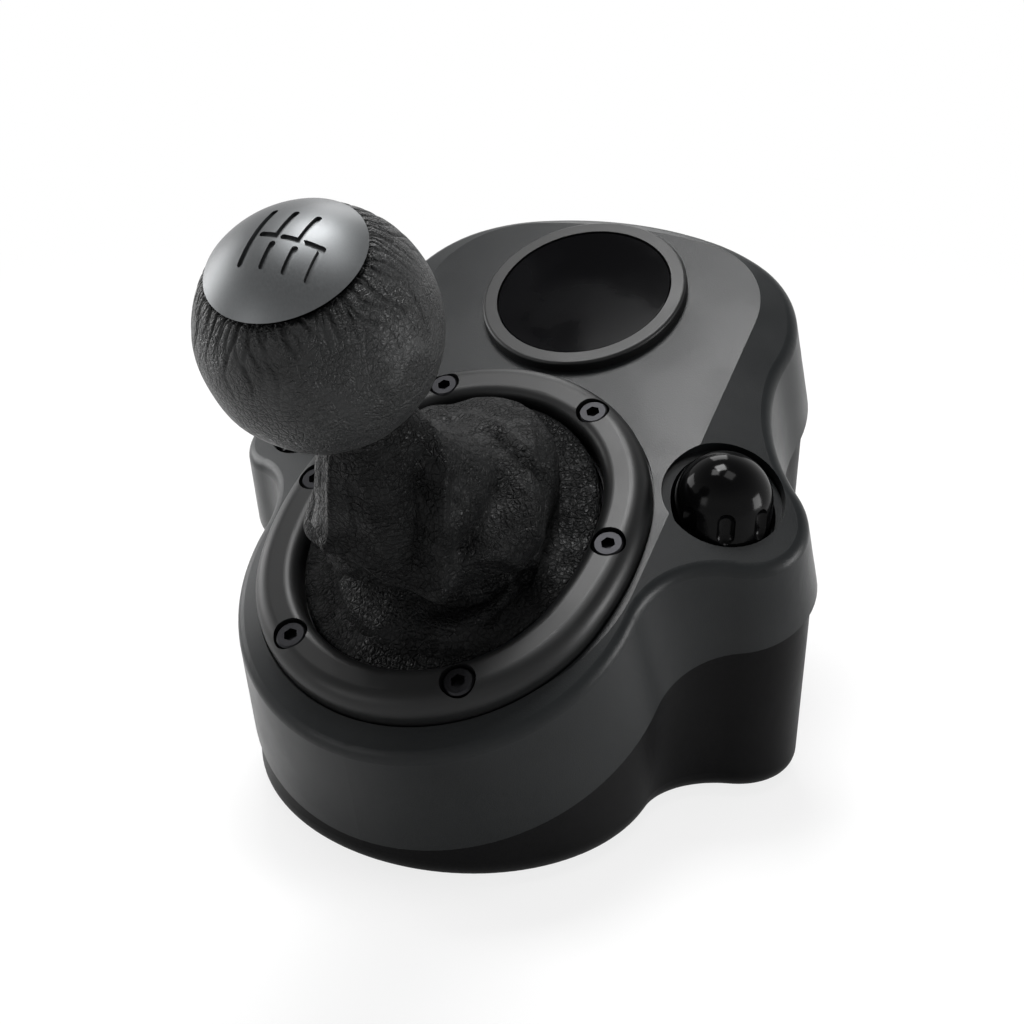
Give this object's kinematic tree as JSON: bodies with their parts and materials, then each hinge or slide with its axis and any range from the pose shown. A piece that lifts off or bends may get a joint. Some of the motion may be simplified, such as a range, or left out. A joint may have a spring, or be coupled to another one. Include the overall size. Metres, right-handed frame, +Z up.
{
  "type": "sim racing gear shifter",
  "caption": "Desk-clamped sim racing shifter with a leather-covered ball on an inclined lever, folded gaiter in a screwed ring, and two clamp knobs that drive jaws under the base.",
  "frame": {"origin": "middle of the bounding box at table level", "axes": "+X to the driver's right, +Y away from the driver, +Z up"},
  "size_m": [0.1586, 0.19, 0.1573],
  "materials": {
    "shell_plastic": "fine textured charcoal, slightly satin",
    "base_plastic": "matte black",
    "ring_plastic": "satin black",
    "disc_gloss": "high gloss black",
    "knob_gloss": "gloss black",
    "gaiter_leather": "crumpled black leather",
    "ball_leather": "grained black leather",
    "cap_metal": "satin grey",
    "black_steel": "blackened steel",
    "zinc_steel": "zinc plated steel",
    "spring_steel": "spring steel",
    "insert_brass": "turned brass",
    "bush_plastic": "natural engineering plastic",
    "foot_rubber": "black rubber",
    "board_green": "green lacquered board"
  },
  "bodies": {
    "housing": {"upper_shell": "shell_plastic", "lower_shell": "base_plastic", "gaiter_ring": "ring_plastic", "ring_screws": "black_steel", "gaiter": "gaiter_leather", "gaiter_frame": "base_plastic", "gate_plate": "zinc_steel", "disc_bezel": "ring_plastic", "disc_plate": "disc_gloss", "yoke_bushes": "bush_plastic", "gimbal_frame": "bush_plastic", "gimbal_screws": "zinc_steel", "centring_springs": "spring_steel", "side_sensor": "base_plastic", "case_screws": "black_steel", "rubber_feet": "foot_rubber", "mount_inserts": "insert_brass", "circuit_board": "board_green", "cable_socket": "base_plastic"},
    "yoke": {"gimbal_yoke": "bush_plastic", "tilt_sensor": "base_plastic"},
    "tilt_block": {"tilt_block": "zinc_steel", "tilt_pins": "zinc_steel", "push_spring": "spring_steel"},
    "lever": {"lever_shaft": "zinc_steel", "knob_core": "base_plastic", "knob_leather": "ball_leather", "knob_cap": "cap_metal", "knob_nut": "black_steel", "push_collar": "zinc_steel", "shaft_clip": "spring_steel"},
    "clamp_screw_right": {"clamp_knob_right": "knob_gloss", "clamp_rod_right": "zinc_steel"},
    "clamp_screw_left": {"clamp_knob_left": "knob_gloss", "clamp_rod_left": "zinc_steel"},
    "jaw_right": {"clamp_jaw_right": "base_plastic", "jaw_pad_right": "foot_rubber"},
    "jaw_left": {"clamp_jaw_left": "base_plastic", "jaw_pad_left": "foot_rubber"}
  },
  "joints": [
    {"name": "side_tilt", "type": "hinge", "parent": "housing", "child": "yoke", "pos_m": [0, -0.00744, 0.02503], "axis": [0, 0.8616, 0.5075], "range_deg": [-6.5, 13], "stiffness_Nm_per_rad": 2, "deforming": ["gaiter", "centring_springs"]},
    {"name": "fore_aft_tilt", "type": "hinge", "parent": "yoke", "child": "tilt_block", "pos_m": [0, -0.00744, 0.02503], "axis": [1, 0, 0], "range_deg": [-10, 10], "deforming": ["gaiter"]},
    {"name": "push_down", "type": "slide", "parent": "tilt_block", "child": "lever", "axis": [0, -0.5075, 0.8616], "range_m": [-0.006, 0], "stiffness_N_per_m": 1500, "springref_m": 0.004, "deforming": ["gaiter", "push_spring"]},
    {"name": "clamp_turn_right", "type": "hinge", "parent": "housing", "child": "clamp_screw_right", "pos_m": [0.0567, 0.00704, 0.07], "axis": [0, 0, 1], "range_deg": [0, 4300]},
    {"name": "clamp_turn_left", "type": "hinge", "parent": "housing", "child": "clamp_screw_left", "pos_m": [-0.0567, 0.00704, 0.07], "axis": [0, 0, 1], "range_deg": [0, 4300]},
    {"name": "jaw_slide_right", "type": "slide", "parent": "housing", "child": "jaw_right", "axis": [0, 0, -1], "range_m": [0, 0.03]},
    {"name": "jaw_slide_left", "type": "slide", "parent": "housing", "child": "jaw_left", "axis": [0, 0, -1], "range_m": [0, 0.03]}
  ],
  "couplings": [
    {"joint": "jaw_slide_right", "follows": "clamp_turn_right", "m_per_rad": 0.00039789},
    {"joint": "jaw_slide_left", "follows": "clamp_turn_left", "m_per_rad": 0.00039789}
  ]
}
